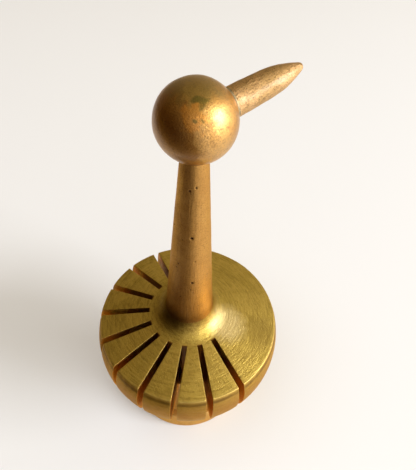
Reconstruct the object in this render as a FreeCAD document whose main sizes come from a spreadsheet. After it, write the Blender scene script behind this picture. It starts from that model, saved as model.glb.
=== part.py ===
import FreeCAD
import Part
import math
import os
import Sketcher

"""A turned and cast brass bird on a pedestal, as a bench assembly.

Frame: +Z up, origin on the table under the neck's axis, beak towards +X, tail slots towards -X.
From the table up: felt pad, base plate, spool-shaped stem, slotted body disc with a flared collar,
tapered neck, ball head with a bullet-shaped beak soldered into its side. A threaded rod with a thin
nut and a washer clamps base, stem, body and neck together. The head turns on a plain stud.
"""

# Driving dimensions in millimetres, angles in degrees. Each is written once, here.
DIMENSIONS = {
    # felt pad and base plate
    "pad_radius": 29.0,
    "pad_thickness": 1.6,
    "pad_proud": 0.6,
    "pad_gap": 0.3,
    "base_radius": 34.2,
    "base_top_radius": 32.8,
    "base_thickness": 11.9,
    "base_side_arc": 30.0,
    "base_edge_round": 0.8,
    # stem, a spool with a flare at each end
    "stem_length": 33.0,
    "stem_waist_radius": 17.0,
    "stem_foot_radius": 29.6,
    "stem_head_radius": 26.5,
    "stem_land": 0.8,
    "stem_waist_share": 0.5,
    # body disc with its collar and tail slots
    "body_radius": 45.5,
    "body_bottom_radius": 45.2,
    "body_thickness": 27.3,
    "belly_arc": 38.0,
    "rim_round": 0.6,
    "bottom_round": 2.5,
    "top_slope": 13.0,
    "collar_arc": 11.4,
    "slot_count": 10,
    "slot_pitch": 20.9,
    "slot_offset": 1.5,
    "slot_inner_radius": 20.4,
    "slot_inner_width": 2.6,
    "slot_outer_width": 3.1,
    # neck
    "neck_foot_radius": 11.5,
    "neck_joint_drop": 3.3,
    "neck_length": 95.3,
    "neck_top_radius": 5.05,
    # locating spigots between base, stem, body and neck
    "spigot_radius": 9.0,
    "spigot_length": 2.5,
    "neck_spigot_radius": 6.5,
    "fit_clearance": 0.05,
    "end_gap": 0.3,
    # threaded rod, nut and washer
    "rod_radius": 4.0,
    "rod_clearance": 0.25,
    "rod_engagement": 16.0,
    "rod_tail": 0.8,
    "nut_flats": 13.0,
    "nut_thickness": 4.0,
    "washer_radius": 8.0,
    "washer_thickness": 1.6,
    "nut_recess_radius": 8.6,
    # head: ball, stud, beak and solder
    "ball_radius": 13.8,
    "seat_depth": 0.5,
    "seat_clearance": 0.2,
    "stud_radius": 2.5,
    "stud_in_neck": 12.0,
    "stud_in_ball": 11.0,
    "beak_elevation": 13.0,
    "beak_reach": 41.4,
    "beak_root_radius": 5.25,
    "beak_land": 1.2,
    "beak_shoulder_radius": 4.85,
    "beak_shoulder_at": 25.5,
    "beak_tip_radius": 1.45,
    "beak_tip_angle": 25.0,
    "beak_side_arc": 37.0,
    "beak_peg_radius": 3.0,
    "beak_peg_from": 6.0,
    "solder_width": 1.0,
}

# Heights worked out from the driving dimensions, as expressions that the document evaluates.
Z_BASE = "dims.pad_proud"
Z_PAD_TOP = "dims.pad_thickness"
Z_BASE_TOP = f"({Z_BASE} + dims.base_thickness)"
Z_STEM_TOP = f"({Z_BASE_TOP} + dims.stem_length)"
Z_WAIST = f"({Z_BASE_TOP} + dims.stem_waist_share * dims.stem_length)"
Z_BODY_EDGE = f"({Z_STEM_TOP} + dims.body_thickness)"
SLOPE = "(dims.top_slope * 1deg)"
COLLAR_R = "(dims.neck_foot_radius + dims.collar_arc)"
COLLAR_Z = (f"({Z_BODY_EDGE} + (dims.body_radius - {COLLAR_R}) * tan({SLOPE})"
            f" + dims.collar_arc / cos({SLOPE}))")
COLLAR_START_R = f"({COLLAR_R} - dims.collar_arc * sin({SLOPE}))"
COLLAR_START_Z = f"({COLLAR_Z} - dims.collar_arc * cos({SLOPE}))"
JOINT_Z = f"({COLLAR_Z} - dims.neck_joint_drop)"
JOINT_R = f"({COLLAR_R} - sqrt(dims.collar_arc ^ 2 - dims.neck_joint_drop ^ 2))"
Z_NECK_TOP = f"({JOINT_Z} + dims.neck_length)"
SEAT_R = "(dims.neck_top_radius + dims.seat_clearance)"
Z_BALL = f"({Z_NECK_TOP} - dims.seat_depth + sqrt(dims.ball_radius ^ 2 - {SEAT_R} ^ 2))"
Z_RECESS_TOP = (f"({Z_PAD_TOP} + dims.end_gap + dims.rod_tail + dims.nut_thickness"
                " + dims.washer_thickness)")
ROD_HOLE_R = "(dims.rod_radius + dims.rod_clearance)"
SOCKET_R = "(dims.spigot_radius + dims.fit_clearance)"
SOCKET_DEPTH = "(dims.spigot_length + dims.end_gap)"
NECK_SOCKET_R = "(dims.neck_spigot_radius + dims.fit_clearance)"

doc = FreeCAD.newDocument("brass_bird")


def make_sheet():
    """Keep the driving dimensions in a spreadsheet, one alias each."""
    sheet = doc.addObject("Spreadsheet::Sheet", "dims")
    for row, (alias, value) in enumerate(DIMENSIONS.items(), start=1):
        sheet.set(f"A{row}", alias)
        sheet.set(f"B{row}", str(value))
        sheet.setAlias(f"B{row}", alias)
    doc.recompute()
    return sheet


sheet = make_sheet()


def value_of(expression):
    """Evaluate an expression of the sheet as a plain number."""
    result = sheet.evalExpression(expression.replace("dims.", ""))
    return float(getattr(result, "Value", result))


def origin_feature(body, role):
    """Find one of a body's own origin planes or axes."""
    for feature in body.Origin.OriginFeatures:
        if feature.Role == role:
            return feature
    raise ValueError(role)


def new_body(name):
    """Make an empty body whose label names its file."""
    body = doc.addObject("PartDesign::Body", name)
    body.Label = name
    return body


def new_sketch(body, name, plane):
    """Make a sketch on one of the body's origin planes."""
    sketch = body.newObject("Sketcher::SketchObject", name)
    sketch.AttachmentSupport = (origin_feature(body, plane), [""])
    sketch.MapMode = "FlatFace"
    return sketch


def bind(sketch, kind, geometry, point, expression):
    """Hold a sketch point's distance from the origin at an expression's value."""
    amount = value_of(expression)
    if abs(amount) < 1e-9:
        axis = -2 if kind == "DistanceX" else -1
        sketch.addConstraint(Sketcher.Constraint("PointOnObject", geometry, point, axis))
        return
    index = sketch.addConstraint(Sketcher.Constraint(kind, -1, 1, geometry, point, amount))
    sketch.setExpression(f"Constraints[{index}]", expression)


def arc_between(start, end, radius, side):
    """Make an arc of a given radius from start to end, bulging to the left (+1) or right (-1).

    The arc is always stored anticlockwise, so one that bulges to the left runs from end to start.
    """
    if side > 0:
        start, end = end, start
    chord_x = end[0] - start[0]
    chord_y = end[1] - start[1]
    chord = math.hypot(chord_x, chord_y)
    depth = math.sqrt(max(radius ** 2 - chord ** 2 / 4, 0.0))
    centre_x = (start[0] + end[0]) / 2 - depth * chord_y / chord
    centre_y = (start[1] + end[1]) / 2 + depth * chord_x / chord
    circle = Part.Circle(FreeCAD.Vector(centre_x, centre_y, 0), FreeCAD.Vector(0, 0, 1), radius)
    first = math.atan2(start[1] - centre_y, start[0] - centre_x)
    last = math.atan2(end[1] - centre_y, end[0] - centre_x)
    if last < first:
        last += 2 * math.pi
    return Part.ArcOfCircle(circle, first, last)


def draw_profile(sketch, points):
    """Draw a closed profile of lines and arcs through points, each point held by expressions.

    A point is (across, up) or (across, up, radius, side): with a radius, the edge that leaves it
    is an arc of that radius.
    """
    corners = [(value_of(point[0]), value_of(point[1])) for point in points]
    for index, point in enumerate(points):
        start = corners[index]
        end = corners[(index + 1) % len(points)]
        if len(point) == 2:
            edge = Part.LineSegment(FreeCAD.Vector(*start, 0), FreeCAD.Vector(*end, 0))
            sketch.addGeometry(edge, False)
        else:
            sketch.addGeometry(arc_between(start, end, value_of(point[2]), point[3]), False)
    ends = [end_numbers(sketch, index, corners[index]) for index in range(len(points))]
    for index, point in enumerate(points):
        following = (index + 1) % len(points)
        link = Sketcher.Constraint("Coincident", index, ends[index][1], following, ends[following][0])
        sketch.addConstraint(link)
        bind(sketch, "DistanceX", index, ends[index][0], point[0])
        bind(sketch, "DistanceY", index, ends[index][0], point[1])
        if len(point) == 4:
            radius = sketch.addConstraint(Sketcher.Constraint("Radius", index, value_of(point[2])))
            sketch.setExpression(f"Constraints[{radius}]", point[2])


def end_numbers(sketch, index, start):
    """Tell which end of an edge comes first: an arc that bulges to the left is stored the other way."""
    edge = sketch.Geometry[index]
    first = edge.StartPoint
    if math.hypot(first.x - start[0], first.y - start[1]) < 1e-6:
        return 1, 2
    return 2, 1


def revolve(body, name, points):
    """Turn a profile, drawn in the XZ plane, about the upright axis."""
    sketch = new_sketch(body, f"{name}_profile", "XZ_Plane")
    draw_profile(sketch, points)
    turned = body.newObject("PartDesign::Revolution", f"{name}_turned")
    turned.Profile = sketch
    turned.ReferenceAxis = (sketch, ["V_Axis"])
    turned.Angle = 360.0
    body.Tip = turned
    doc.recompute()
    return turned


def round_edge(body, name, base, radius, height, amount):
    """Round the circular edges of a given radius and height, and bind the fillet's size."""
    names = []
    for number, edge in enumerate(base.Shape.Edges, start=1):
        curve = edge.Curve
        if not isinstance(curve, Part.Circle):
            continue
        level = abs(curve.Center.z - value_of(height)) < 1e-4
        if level and abs(curve.Radius - value_of(radius)) < 1e-4:
            names.append(f"Edge{number}")
    if not names:
        raise ValueError(f"{name}: no edge to round")
    fillet = body.newObject("PartDesign::Fillet", f"{name}_round")
    fillet.Base = (base, names)
    fillet.setExpression("Radius", amount)
    body.Tip = fillet
    doc.recompute()
    return fillet


def make_felt_pad():
    """A round felt pad glued into the base plate's underside."""
    body = new_body("felt_pad")
    revolve(body, "pad", [
        ("0", "0"),
        ("dims.pad_radius", "0"),
        ("dims.pad_radius", Z_PAD_TOP),
        ("0", Z_PAD_TOP),
    ])
    return body


def make_base_plate():
    """The foot: a thick disc with a rounded side, a pad recess, a nut recess and a top spigot."""
    body = new_body("base_plate")
    pad_recess_r = "(dims.pad_radius + dims.pad_gap)"
    spigot_top = f"({Z_BASE_TOP} + dims.spigot_length)"
    turned = revolve(body, "base", [
        (pad_recess_r, Z_BASE),
        ("dims.base_radius", Z_BASE, "dims.base_side_arc", -1),
        ("dims.base_top_radius", Z_BASE_TOP),
        ("dims.spigot_radius", Z_BASE_TOP),
        ("dims.spigot_radius", spigot_top),
        (ROD_HOLE_R, spigot_top),
        (ROD_HOLE_R, Z_RECESS_TOP),
        ("dims.nut_recess_radius", Z_RECESS_TOP),
        ("dims.nut_recess_radius", Z_PAD_TOP),
        (pad_recess_r, Z_PAD_TOP),
    ])
    round_edge(body, "base_top", turned, "dims.base_top_radius", Z_BASE_TOP, "dims.base_edge_round")
    return body


def flare_arc(end_radius, end_height):
    """Radius of the arc that leaves the stem's waist upright and reaches a flare's end."""
    across = f"({end_radius} - dims.stem_waist_radius)"
    return f"(({across} ^ 2 + {end_height} ^ 2) / (2 * {across}))"


def make_stem():
    """The stem: a spool, its waist met by two arcs that are upright there."""
    body = new_body("stem")
    foot_land = f"({Z_BASE_TOP} + dims.stem_land)"
    head_land = f"({Z_STEM_TOP} - dims.stem_land)"
    lower_arc = flare_arc("dims.stem_foot_radius", f"({Z_WAIST} - {foot_land})")
    upper_arc = flare_arc("dims.stem_head_radius", f"({head_land} - {Z_WAIST})")
    spigot_top = f"({Z_STEM_TOP} + dims.spigot_length)"
    revolve(body, "stem", [
        (SOCKET_R, Z_BASE_TOP),
        ("dims.stem_foot_radius", Z_BASE_TOP),
        ("dims.stem_foot_radius", foot_land, lower_arc, 1),
        ("dims.stem_waist_radius", Z_WAIST, upper_arc, 1),
        ("dims.stem_head_radius", head_land),
        ("dims.stem_head_radius", Z_STEM_TOP),
        ("dims.spigot_radius", Z_STEM_TOP),
        ("dims.spigot_radius", spigot_top),
        (ROD_HOLE_R, spigot_top),
        (ROD_HOLE_R, f"({Z_BASE_TOP} + {SOCKET_DEPTH})"),
        (SOCKET_R, f"({Z_BASE_TOP} + {SOCKET_DEPTH})"),
    ])
    return body


def make_body_disc():
    """The body: a rounded disc with a conical top, a flared collar and a fan of tail slots."""
    body = new_body("body_disc")
    socket_top = f"({Z_STEM_TOP} + {SOCKET_DEPTH})"
    neck_socket = f"({JOINT_Z} - {SOCKET_DEPTH})"
    turned = revolve(body, "disc", [
        (SOCKET_R, Z_STEM_TOP),
        ("dims.body_bottom_radius", Z_STEM_TOP, "dims.belly_arc", -1),
        ("dims.body_radius", Z_BODY_EDGE),
        (COLLAR_START_R, COLLAR_START_Z, "dims.collar_arc", 1),
        (JOINT_R, JOINT_Z),
        (NECK_SOCKET_R, JOINT_Z),
        (NECK_SOCKET_R, neck_socket),
        (ROD_HOLE_R, neck_socket),
        (ROD_HOLE_R, socket_top),
        (SOCKET_R, socket_top),
    ])
    rim = round_edge(body, "rim", turned, "dims.body_radius", Z_BODY_EDGE, "dims.rim_round")
    round_edge(body, "bottom", rim, "dims.body_bottom_radius", Z_STEM_TOP, "dims.bottom_round")
    cut_tail_slots(body)
    turn = FreeCAD.Rotation(FreeCAD.Vector(0, 0, 1), 90.0)
    body.Placement = FreeCAD.Placement(FreeCAD.Vector(0, 0, 0), turn)
    body.setExpression(
        "Placement.Rotation.Angle",
        "180deg - asin(dims.slot_offset / dims.body_radius)"
        " - (dims.slot_count - 1) / 2 * dims.slot_pitch * 1deg",
    )
    doc.recompute()
    return body


def cut_tail_slots(body):
    """Cut one slot right through, widening towards the rim, and repeat it round the tail.

    Its middle line passes the axis at slot_offset, as a saw set to one side of the centre leaves it.
    """
    reach = "(dims.body_radius + dims.belly_arc)"
    half_inner = "(dims.slot_inner_width / 2)"
    half_outer = (f"({half_inner} + (dims.slot_outer_width - dims.slot_inner_width) / 2"
                  f" * ({reach} - dims.slot_inner_radius)"
                  " / (dims.body_radius - dims.slot_inner_radius))")
    sketch = new_sketch(body, "slot_profile", "XY_Plane")
    draw_profile(sketch, [
        ("dims.slot_inner_radius", f"(dims.slot_offset - {half_inner})"),
        (reach, f"(dims.slot_offset - {half_outer})"),
        (reach, f"(dims.slot_offset + {half_outer})"),
        ("dims.slot_inner_radius", f"(dims.slot_offset + {half_inner})"),
    ])
    before = body.Tip.Shape.Volume
    slot = body.newObject("PartDesign::Pocket", "slot_cut")
    slot.Profile = sketch
    slot.Type = "ThroughAll"
    slot.Reversed = True
    body.Tip = slot
    doc.recompute()
    if slot.Shape.Volume > before - 1.0:
        raise ValueError("the tail slot cuts nothing")
    pattern = body.newObject("PartDesign::PolarPattern", "tail_slots")
    pattern.Originals = [slot]
    pattern.Axis = (origin_feature(body, "Z_Axis"), [""])
    pattern.Reversed = False
    pattern.setExpression("Occurrences", "dims.slot_count")
    pattern.setExpression("Angle", "(dims.slot_count - 1) * dims.slot_pitch * 1deg")
    body.Tip = pattern
    doc.recompute()
    cut_once = before - slot.Shape.Volume
    cut_all = before - pattern.Shape.Volume
    if abs(cut_all - DIMENSIONS["slot_count"] * cut_once) > 0.01 * cut_all:
        raise ValueError("the slot pattern is incomplete")


def make_neck():
    """The neck: a long taper that ends the collar's curve at its foot and carries the stud."""
    body = new_body("neck")
    foot_bottom = f"({JOINT_Z} - dims.spigot_length)"
    thread_top = f"({foot_bottom} + dims.rod_engagement + dims.end_gap)"
    stud_bottom = f"({Z_NECK_TOP} - dims.stud_in_neck - dims.end_gap)"
    revolve(body, "neck", [
        ("dims.rod_radius", foot_bottom),
        ("dims.neck_spigot_radius", foot_bottom),
        ("dims.neck_spigot_radius", JOINT_Z),
        (JOINT_R, JOINT_Z, "dims.collar_arc", 1),
        ("dims.neck_foot_radius", COLLAR_Z),
        ("dims.neck_top_radius", Z_NECK_TOP),
        ("dims.stud_radius", Z_NECK_TOP),
        ("dims.stud_radius", stud_bottom),
        ("0", stud_bottom),
        ("0", thread_top),
        ("dims.rod_radius", thread_top),
    ])
    return body


def make_tie_rod():
    """The threaded rod that clamps the foot, stem, body and neck together."""
    rod = doc.addObject("Part::Cylinder", "tie_rod")
    rod.Label = "tie_rod"
    bottom = f"({Z_PAD_TOP} + dims.end_gap)"
    top = f"({JOINT_Z} - dims.spigot_length + dims.rod_engagement)"
    rod.setExpression("Radius", "dims.rod_radius")
    rod.setExpression("Height", f"{top} - {bottom}")
    rod.setExpression("Placement.Base.z", bottom)
    return rod


def make_tie_nut():
    """The thin hexagonal nut on the rod, inside the base plate's recess."""
    blank = doc.addObject("Part::Prism", "nut_blank")
    blank.Polygon = 6
    bottom = f"({Z_PAD_TOP} + dims.end_gap + dims.rod_tail)"
    blank.setExpression("Circumradius", "dims.nut_flats / sqrt(3)")
    blank.setExpression("Height", "dims.nut_thickness")
    bore = doc.addObject("Part::Cylinder", "nut_bore")
    bore.setExpression("Radius", "dims.rod_radius")
    bore.setExpression("Height", "dims.nut_thickness")
    nut = doc.addObject("Part::Cut", "tie_nut")
    nut.Label = "tie_nut"
    nut.Base = blank
    nut.Tool = bore
    nut.setExpression("Placement.Base.z", bottom)
    return nut


def make_nut_washer():
    """The plain washer between the nut and the recess's ceiling."""
    body = new_body("nut_washer")
    bottom = f"({Z_RECESS_TOP} - dims.washer_thickness)"
    revolve(body, "washer", [
        (ROD_HOLE_R, bottom),
        ("dims.washer_radius", bottom),
        ("dims.washer_radius", Z_RECESS_TOP),
        (ROD_HOLE_R, Z_RECESS_TOP),
    ])
    return body


def make_head_stud():
    """The plain stud, fixed in the neck's top, that the head turns on."""
    stud = doc.addObject("Part::Cylinder", "head_stud")
    stud.Label = "head_stud"
    stud.setExpression("Radius", "dims.stud_radius")
    stud.setExpression("Height", "dims.stud_in_neck + dims.stud_in_ball")
    stud.setExpression("Placement.Base.z", f"{Z_NECK_TOP} - dims.stud_in_neck")
    return stud


def make_head_ball():
    """The head: a ball with a flat seat and a running bore below, and a bore for the beak's peg."""
    body = new_body("head_ball")
    bore_r = "(dims.stud_radius + dims.fit_clearance)"
    bore_top = f"({Z_NECK_TOP} + dims.stud_in_ball + dims.end_gap)"
    seat_edge = f"({Z_NECK_TOP} - dims.seat_depth)"
    revolve(body, "ball", [
        (SEAT_R, seat_edge, "dims.ball_radius", -1),
        ("dims.ball_radius", Z_BALL, "dims.ball_radius", -1),
        ("0", f"({Z_BALL} + dims.ball_radius)"),
        ("0", bore_top),
        (bore_r, bore_top),
        (bore_r, Z_NECK_TOP),
        (SEAT_R, Z_NECK_TOP),
    ])
    bore_peg_hole(body)
    return body


def bore_peg_hole(body):
    """Turn away a cylinder about the beak's inclined axis, from the peg's end to the outside."""
    tilt = "(dims.beak_elevation * 1deg)"
    start = "(dims.beak_peg_from - dims.end_gap)"
    finish = "(dims.ball_radius + dims.beak_land)"

    def along(distance, offset):
        across = f"({distance} * cos({tilt}) - {offset} * sin({tilt}))"
        height = f"({Z_BALL} + {distance} * sin({tilt}) + {offset} * cos({tilt}))"
        return across, height

    sketch = new_sketch(body, "peg_hole_profile", "XZ_Plane")
    draw_profile(sketch, [
        along(start, "0"),
        along(finish, "0"),
        along(finish, "dims.beak_peg_radius"),
        along(start, "dims.beak_peg_radius"),
    ])
    before = body.Tip.Shape.Volume
    groove = body.newObject("PartDesign::Groove", "peg_hole")
    groove.Profile = sketch
    groove.ReferenceAxis = (sketch, ["Edge1"])
    groove.Angle = 360.0
    body.Tip = groove
    doc.recompute()
    if groove.Shape.Volume > before - 1.0:
        raise ValueError("the peg hole cuts nothing")


def place_on_beak_axis(body):
    """Move a piece drawn along its own upright axis from the ball's centre onto the beak's axis."""
    lean = FreeCAD.Rotation(FreeCAD.Vector(0, 1, 0), 77.0)
    body.Placement = FreeCAD.Placement(FreeCAD.Vector(0, 0, 1), lean)
    body.setExpression("Placement.Rotation.Angle", "90deg - dims.beak_elevation * 1deg")
    body.setExpression("Placement.Base.z", Z_BALL)
    doc.recompute()


def on_ball(radius):
    """Distance from the ball's centre, along the beak, where a radius meets the ball."""
    return f"sqrt(dims.ball_radius ^ 2 - {radius} ^ 2)"


def make_beak():
    """The beak: a bullet with a short straight root, hollowed to sit on the ball, and a peg."""
    body = new_body("beak")
    root = f"({on_ball('dims.beak_root_radius')})"
    tip_tilt = "(dims.beak_tip_angle * 1deg)"
    tip_r = f"(dims.beak_tip_radius * cos({tip_tilt}))"
    tip_z = f"(dims.beak_reach - dims.beak_tip_radius * (1 - sin({tip_tilt})))"
    revolve(body, "beak", [
        ("0", "dims.beak_peg_from"),
        ("dims.beak_peg_radius", "dims.beak_peg_from"),
        ("dims.beak_peg_radius", f"({on_ball('dims.beak_peg_radius')})", "dims.ball_radius", 1),
        ("dims.beak_root_radius", root),
        ("dims.beak_root_radius", f"({root} + dims.beak_land)"),
        ("dims.beak_shoulder_radius", "dims.beak_shoulder_at", "dims.beak_side_arc", -1),
        (tip_r, tip_z, "dims.beak_tip_radius", -1),
        ("0", "dims.beak_reach"),
    ])
    place_on_beak_axis(body)
    return body


def make_beak_solder():
    """The thin ring of silver solder in the corner between the ball and the beak's root."""
    body = new_body("beak_solder")
    root = f"({on_ball('dims.beak_root_radius')})"
    outer_r = "(dims.beak_root_radius + dims.solder_width)"
    outer = f"({on_ball(outer_r)})"
    revolve(body, "solder", [
        ("dims.beak_root_radius", root, "dims.ball_radius", 1),
        (outer_r, outer, "dims.solder_width * 2.5", 1),
        ("dims.beak_root_radius", f"({root} + dims.solder_width)"),
    ])
    place_on_beak_axis(body)
    return body


PIECES = [
    make_felt_pad(),
    make_base_plate(),
    make_stem(),
    make_body_disc(),
    make_neck(),
    make_tie_rod(),
    make_tie_nut(),
    make_nut_washer(),
    make_head_stud(),
    make_head_ball(),
    make_beak(),
    make_beak_solder(),
]


def check_document():
    """Refuse to write anything if a feature failed or a piece isn't one valid solid."""
    doc.recompute()
    for item in doc.Objects:
        if "Invalid" in item.State or "Error" in item.State:
            raise ValueError(f"{item.Name}: {item.State}")
    for piece in PIECES:
        shape = piece.Shape
        if shape.isNull() or not shape.isValid() or len(shape.Solids) != 1:
            raise ValueError(f"{piece.Label}: not one valid solid")


def write_pieces():
    """Write each piece to a STEP file named after its label."""
    os.makedirs("parts", exist_ok=True)
    for piece in PIECES:
        piece.Shape.exportStep(f"parts/{piece.Label}.step")
        box = piece.Shape.optimalBoundingBox(False)
        print(f"{piece.Label}: {piece.Shape.Volume:.0f} mm3, z {box.ZMin:.2f} to {box.ZMax:.2f}")


check_document()
write_pieces()
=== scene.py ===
import bmesh
import bpy
import math
import numpy as np
from mathutils import Matrix, Quaternion, Vector


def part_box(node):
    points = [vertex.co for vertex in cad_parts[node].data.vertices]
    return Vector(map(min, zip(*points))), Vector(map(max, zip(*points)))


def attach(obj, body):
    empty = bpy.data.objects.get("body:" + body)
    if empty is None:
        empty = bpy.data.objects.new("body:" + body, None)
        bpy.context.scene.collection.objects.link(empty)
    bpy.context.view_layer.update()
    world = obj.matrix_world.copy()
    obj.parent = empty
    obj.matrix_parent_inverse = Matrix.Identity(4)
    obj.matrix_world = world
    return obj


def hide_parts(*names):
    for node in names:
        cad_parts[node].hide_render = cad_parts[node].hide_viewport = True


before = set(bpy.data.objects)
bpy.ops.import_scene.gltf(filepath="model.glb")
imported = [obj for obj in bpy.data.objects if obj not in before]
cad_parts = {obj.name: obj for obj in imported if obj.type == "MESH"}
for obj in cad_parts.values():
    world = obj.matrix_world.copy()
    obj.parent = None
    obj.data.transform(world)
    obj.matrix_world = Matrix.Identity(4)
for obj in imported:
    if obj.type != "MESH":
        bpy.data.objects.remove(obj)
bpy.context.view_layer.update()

# ---------------------------------------------------------------- sizes, in metres and radians
MM = 0.001
DEG = math.pi / 180


def low(node):
    """Lowest corner of a CAD piece as an array."""
    return np.array(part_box(node)[0])


def high(node):
    """Highest corner of a CAD piece as an array."""
    return np.array(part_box(node)[1])


Z_BASE = low("base_plate")[2]
Z_STEM = low("stem")[2]
Z_DISC = low("body_disc")[2]
Z_JOINT = high("body_disc")[2]
Z_NECK_TOP = high("neck")[2]
BALL_R = high("head_ball")[0]
BALL_C = np.array([0, 0, high("head_ball")[2] - BALL_R])

BODY_R = 45.5 * MM            # sharp top edge of the disc
BODY_BOTTOM_R = 45.2 * MM
BODY_EDGE_Z = Z_DISC + 27.3 * MM
BELLY_ARC = 38.0 * MM
RIM_ROUND = 0.6 * MM
BOTTOM_ROUND = 2.5 * MM
TOP_SLOPE = 13.0 * DEG
COLLAR_ARC = 11.4 * MM
NECK_FOOT_R = 11.5 * MM
NECK_TOP_R = 5.05 * MM
SLOT_COUNT = 10
SLOT_PITCH = 20.9 * DEG
SLOT_OFFSET = 1.5 * MM        # the saw ran this far to one side of the centre
SLOT_INNER_R = 20.4 * MM
SLOT_INNER_W = 2.6 * MM
SLOT_OUTER_W = 3.1 * MM
SLOT_EDGE = 0.18 * MM         # hand-broken edge along each slot
ROD_R = 4.0 * MM
ROD_HOLE_R = 4.25 * MM
SPIGOT_R = 9.0 * MM
SPIGOT_LENGTH = 2.5 * MM
SOCKET_DEPTH = 2.8 * MM
FIT_GAP = 0.05 * MM           # between a spigot or stud and its hole, in radius
NECK_SPIGOT_R = 6.5 * MM
ROD_HOLE_TOP = 13.8 * MM      # end of the rod's hole in the neck, above the joint
STUD_R = 2.5 * MM
STUD_HOLE_DEPTH = 12.3 * MM   # in the neck's top
STUD_BORE_DEPTH = 11.3 * MM   # in the ball
SEAT_R = NECK_TOP_R + 0.2 * MM
SEAT_GAP = 0.03 * MM          # the ball's finished seat clears the neck by this
BEAK_LIFT = 13.0 * DEG
BEAK_REACH = 41.4 * MM
BEAK_ROOT_R = 5.25 * MM
BASE_TOP_R = 32.8 * MM
BASE_BOTTOM_R = 34.2 * MM
NUT_RECESS_R = 8.6 * MM
NUT_RECESS_TOP = 8.3 * MM
PAD_R = 29.0 * MM
PAD_GAP = 0.3 * MM
PAD_RECESS = 1.0 * MM
STEM_WAIST_R = 17.0 * MM
STEM_FOOT_R = 29.6 * MM
STEM_HEAD_R = 26.5 * MM
STEM_LAND = 0.8 * MM

COLLAR_C = np.array([NECK_FOOT_R + COLLAR_ARC, Z_JOINT + 3.3 * MM])
JOINT_R = COLLAR_C[0] - math.sqrt(COLLAR_ARC ** 2 - (COLLAR_C[1] - Z_JOINT) ** 2)


# ---------------------------------------------------------------- outlines (across, up)
def line(start, end, step):
    """Points from start to end, evenly spaced, both ends included."""
    start, end = np.array(start, float), np.array(end, float)
    count = max(2, int(np.ceil(np.linalg.norm(end - start) / step)) + 1)
    share = np.linspace(0, 1, count)[:, None]
    return start + (end - start) * share


def arc(centre, radius, first, last, step):
    """Points of a circle about centre from angle first to angle last, in radians."""
    count = max(4, int(np.ceil(abs(last - first) * radius / step)) + 1)
    angle = np.linspace(first, last, count)
    return np.array(centre) + radius * np.stack([np.cos(angle), np.sin(angle)], axis=1)


def arc_through(start, end, radius, side, step):
    """Points of an arc of a given radius that bulges to the left (+1) or right (-1) of its run."""
    start, end = np.array(start, float), np.array(end, float)
    run = end - start
    chord = np.linalg.norm(run)
    left = np.array([-run[1], run[0]]) / chord
    centre = (start + end) / 2 - side * left * math.sqrt(max(radius ** 2 - chord ** 2 / 4, 0))
    first = math.atan2(*(start - centre)[::-1])
    last = math.atan2(*(end - centre)[::-1])
    turn = (last - first + math.pi) % (2 * math.pi) - math.pi
    return arc(centre, radius, first, first + turn, step)


def corner(before, point, after, radius, count=5):
    """A round of the given radius where two runs meet at point."""
    point = np.array(point, float)
    arriving = point - np.array(before, float)
    arriving /= np.linalg.norm(arriving)
    leaving = np.array(after, float) - point
    leaving /= np.linalg.norm(leaving)
    turn = math.acos(np.clip(arriving @ leaving, -1, 1))
    reach = radius * math.tan(turn / 2)
    first, last = point - arriving * reach, point + leaving * reach
    inward = (leaving - arriving) / np.linalg.norm(leaving - arriving)
    centre = point + inward * radius / math.cos(turn / 2)
    share = np.linspace(0, 1, count)[:, None]
    chord = first + (last - first) * share - centre
    return centre + radius * chord / np.linalg.norm(chord, axis=1, keepdims=True)


def joined(*runs):
    """Runs of points as one outline, without repeated points."""
    points = np.concatenate([np.atleast_2d(run) for run in runs])
    keep = np.r_[True, np.linalg.norm(np.diff(points, axis=0), axis=1) > 0.001 * MM]
    return points[keep]


def rounded(points, rounds, step):
    """A closed outline of straight runs whose corners have the given rounds, 0 for a sharp one."""
    points = [np.array(point, float) for point in points]
    runs = []
    for index, point in enumerate(points):
        before, after = points[index - 1], points[(index + 1) % len(points)]
        if rounds[index] > 0:
            runs.append(corner(before, point, after, rounds[index]))
        else:
            runs.append(point[None])
    filled = []
    for index, run in enumerate(runs):
        filled += [run, line(run[-1], runs[(index + 1) % len(runs)][0], step)]
    return joined(*filled)


# ---------------------------------------------------------------- meshes
def surface(name, patches):
    """One mesh from grids of points (rows, columns, 3): every grid cell is a face, and grids that
    share a border are welded along it. Faces that shrink to a line are dropped."""
    weld, sliver, crease = 2e-6, 1e-7, 40 * DEG
    points, faces, start = [], [], 0
    for grid in patches:
        rows, columns = grid.shape[:2]
        index = start + np.arange(rows * columns).reshape(rows, columns)
        quads = np.stack([index[:-1, :-1], index[:-1, 1:], index[1:, 1:], index[1:, :-1]], axis=-1)
        points.append(grid.reshape(-1, 3))
        faces.append(quads.reshape(-1, 4))
        start += rows * columns
    points, faces = np.concatenate(points), np.concatenate(faces)
    mesh = bpy.data.meshes.new(name)
    mesh.from_pydata(points.tolist(), [], faces.tolist())
    work = bmesh.new()
    work.from_mesh(mesh)
    bmesh.ops.remove_doubles(work, verts=work.verts, dist=weld)
    bmesh.ops.dissolve_degenerate(work, edges=work.edges, dist=sliver)
    bmesh.ops.recalc_face_normals(work, faces=work.faces)
    work.to_mesh(mesh)
    work.free()
    mesh.polygons.foreach_set("use_smooth", np.ones(len(mesh.polygons), bool))
    mesh.set_sharp_from_angle(angle=crease)
    piece = bpy.data.objects.new(name, mesh)
    bpy.context.scene.collection.objects.link(piece)
    return piece


def turned_grid(outline, angle):
    """An outline (across, up) carried round the upright axis through the given angles: each point's
    distance across is laid out along its angle, and its height stays."""
    across = outline[:, 0][:, None]
    height = np.broadcast_to(outline[:, 1][:, None], (len(outline), len(angle)))
    return np.stack([across * np.cos(angle), across * np.sin(angle), height], axis=-1)


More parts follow.
